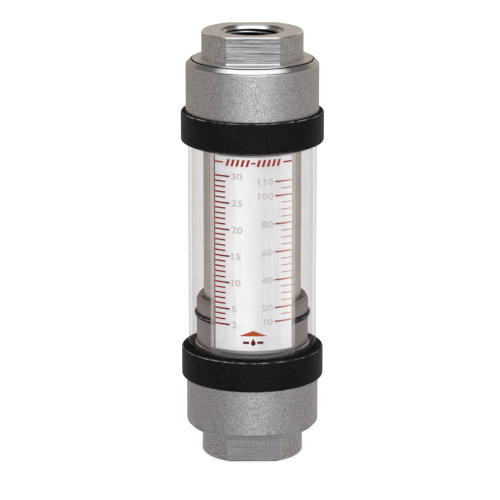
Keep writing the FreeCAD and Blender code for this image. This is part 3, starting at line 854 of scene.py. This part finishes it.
def softbox(name, place, size, power):
    """Area light that points at the meter and shows in no reflection."""
    light = bpy.data.lights.new(name, "AREA")
    light.shape = "RECTANGLE"
    light.size, light.size_y = size
    light.energy = power
    obj = bpy.data.objects.new(name, light)
    bpy.context.scene.collection.objects.link(obj)
    obj.location = place
    obj.rotation_euler = (Vector(LIT_PLACE) - Vector(place)).to_track_quat("-Z", "Y").to_euler()
    obj.visible_camera = False
    obj.visible_glossy = False


def camera():
    """Camera at the photograph's viewing angle, with no shift."""
    elevation = math.radians(CAMERA_ELEVATION_DEG)
    azimuth = math.radians(CAMERA_AZIMUTH_DEG)
    back = Vector((
        math.sin(azimuth) * math.cos(elevation), -math.cos(azimuth) * math.cos(elevation),
        math.sin(elevation)))
    left = Vector((-math.cos(azimuth), -math.sin(azimuth), 0))
    target = Vector((0, 0, LOOK_AT_HEIGHT)) + left * LOOK_AT_LEFT
    data = bpy.data.cameras.new("camera")
    data.lens = CAMERA_LENS
    data.sensor_width = 36.0
    data.clip_start = 0.05
    data.clip_end = 30.0
    obj = bpy.data.objects.new("camera", data)
    bpy.context.scene.collection.objects.link(obj)
    obj.location = target + back * CAMERA_DISTANCE
    obj.rotation_mode = "QUATERNION"
    obj.rotation_quaternion = (-back).to_track_quat("-Z", "Y")
    bpy.context.scene.camera = obj


def render_look():
    scene = bpy.context.scene
    scene.view_settings.view_transform = "Standard"
    scene.view_settings.look = "None"
    scene.cycles.use_denoising = True
    scene.cycles.max_bounces = 14
    scene.cycles.transparent_max_bounces = 24


# Sizes that the frame gives
SHEET_LOW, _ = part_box("scale_sheet")
SHEET_RADIUS = -SHEET_LOW.y
SHEET_FOOT = SHEET_LOW.z
SHEET_ARC = math.radians(SHEET_HALF_ANGLE_DEG) * SHEET_RADIUS
MOUNTS = {mount["name"]: mount for mount in frame["record"]["mounts"]}
RIM_GROOVE_RADIUS = outer_radius("outlet_fitting") - RIM_GROOVE_INSET
FLAT_HALF_WIDTH = abs(MOUNTS["inlet_wrench_flat_front"]["pos_m"][1])
PORT_BORE = MOUNTS["inlet_port"]["dims"]["r_mm"] * MM
GUARD_MID_WALL = outer_radius("guard_tube") - GUARD_WALL / 2
MIDDLE_HEIGHT = (cad_box[0].z + cad_box[1].z) / 2

fitting_metal = blasted_aluminium()
cylinder_metal = turned_metal("drawn_tube", (0.74, 0.695, 0.65), (0.90, 0.855, 0.81), 0.24, 2200.0)
indicator_metal = turned_metal("indicator_metal", (0.42, 0.38, 0.37), (0.54, 0.50, 0.49), 0.28, 2600.0)
inner_steel = turned_metal("inner_steel", (0.46, 0.45, 0.44), (0.58, 0.57, 0.56), 0.25, 3000.0)
wire_steel = turned_metal("wire_steel", (0.38, 0.37, 0.36), (0.48, 0.47, 0.46), 0.28, 1800.0)
screw_steel = turned_metal("screw_steel", (0.28, 0.27, 0.27), (0.38, 0.37, 0.36), 0.32, 1800.0)
piston_metal = turned_metal("piston_metal", (0.50, 0.50, 0.50), (0.62, 0.62, 0.62), 0.30, 2600.0)
thread_metal = cut_thread_metal()
# The bumpers' grey rims are a painted highlight
bumper_rubber = moulded_rubber(
    "bumper_rubber", dark=(0.0024, 0.0026, 0.0026), light=(0.0048, 0.0051, 0.0051),
    highlight_colour=(0.30, 0.302, 0.30), where_highlit=RIM_HIGHLIGHTS, roughness=0.38,
    grain_scale=1400.0, grain_depth=0.034 * MM, gloss=0.085)
seal_rubber = moulded_rubber(
    "seal_rubber", dark=(0.008, 0.008, 0.008), light=(0.014, 0.014, 0.014),
    highlight_colour=(0.014, 0.014, 0.014), where_highlit=RIM_HIGHLIGHTS, roughness=0.35,
    grain_scale=1500.0, grain_depth=0.006 * MM, gloss=0.3)
# The band's grey crown is a painted highlight
band_rubber = moulded_rubber(
    "band_rubber", dark=(0.001, 0.001, 0.001), light=(0.002, 0.002, 0.002),
    highlight_colour=(0.22, 0.22, 0.215), where_highlit=CROWN_HIGHLIGHT, roughness=0.10,
    grain_scale=900.0, grain_depth=0.002 * MM, gloss=0.10)
guard_plastic = clear_plastic(
    "guard_plastic", tint=(0.03, 0.026, 0.022), haze_tint=(0.18, 0.13, 0.08), through=0.055,
    edge=(0.16, 0.60), back_haze=0.12, hazy_above=0.0, roughness=0.08)
support_plastic = clear_plastic(
    "support_plastic", tint=(0.86, 0.83, 0.80), haze_tint=(0.86, 0.83, 0.80), through=0.24,
    edge=(0.75, 0.75), back_haze=0.0, hazy_above=SHEET_FOOT, roughness=0.12)
sheet_white = printed_sheet()
dark_red_ink = ink("dark_red_ink", (0.08, 0.002, 0.001), (0.15, 0.004, 0.002), (0.42, 0.008, 0.004))
red_ink = ink("red_ink", (0.22, 0.004, 0.002), (0.34, 0.008, 0.004), (0.82, 0.330, 0.200))
header_ink = ink("header_ink", (0.26, 0.005, 0.003), (0.46, 0.016, 0.006), (0.50, 0.020, 0.008))
brown_ink = ink("brown_ink", (0.26, 0.080, 0.035), (0.38, 0.130, 0.060), (0.76, 0.420, 0.270))
orange_ink = ink("orange_ink", (0.30, 0.028, 0.006), (0.60, 0.095, 0.016))
faded_ink = ink("faded_ink", (0.62, 0.56, 0.51), (0.72, 0.66, 0.61))

dress(["inlet_fitting", "outlet_fitting"], fitting_metal)
dress(["pressure_cylinder"], cylinder_metal)
dress(["indicator_sleeve"], indicator_metal)
dress(["indicator_band"], band_rubber)
dress(["lower_bumper", "upper_bumper"], bumper_rubber)
dress(["inlet_pressure_seal", "outlet_pressure_seal"], seal_rubber)
dress(["guard_tube"], guard_plastic)
dress(["scale_support"], support_plastic)
dress(["scale_sheet"], sheet_white)
dress(["metering_shaft", "inlet_spider_plate", "outlet_spider_plate", "orifice_plate"], inner_steel)
dress(["return_spring", "inlet_retaining_ring", "outlet_retaining_ring"], wire_steel)
dress(["inlet_shaft_screw", "outlet_shaft_screw"], screw_steel)
dress(["piston_carrier", "magnet_retainer"], piston_metal)
dress(["transfer_magnet", "indicator_magnet"], magnet_ceramic())

left_ticks(dark_red_ink)
right_ticks("right_long_ticks", RIGHT_LABELS, RIGHT_LONG_TICK, RIGHT_TICK_WIDTH, red_ink)
right_short = [
    value for value in range(RIGHT_FIRST, RIGHT_LAST, RIGHT_STEP) if value not in RIGHT_LABELS]
right_ticks("right_short_ticks", right_short, RIGHT_SHORT_TICK, THIN_TICK_WIDTH, brown_ink)
numbers("left_numbers", LEFT_LABELS, faded_ink,
        lambda value: mark_height(value, LEFT_FIRST, LEFT_UNIT),
        -SHEET_ARC + SHEET_MARGIN + LEFT_LONG_TICK + LABEL_GAP, True)
numbers("right_numbers", RIGHT_LABELS, faded_ink, right_height,
        SHEET_ARC - SHEET_MARGIN - RIGHT_LONG_TICK - LABEL_GAP, False)
header(header_ink)
flow_arrow(orange_ink)
fluid_mark(dark_red_ink)
port_thread("inlet_thread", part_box("inlet_fitting")[0].z, 1, PORT_BORE, thread_metal)
port_thread("outlet_thread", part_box("outlet_fitting")[1].z, -1, PORT_BORE, thread_metal)
spring_follows_piston()

floor_and_backdrop()
studio_world()
softbox("overhead", place=(0.0, -0.1, 1.3), size=(1.5, 1.5), power=5.0)
softbox("front_fill", place=(-0.3, -1.55, 0.40), size=(1.2, 0.8), power=5.1)
camera()
render_look()
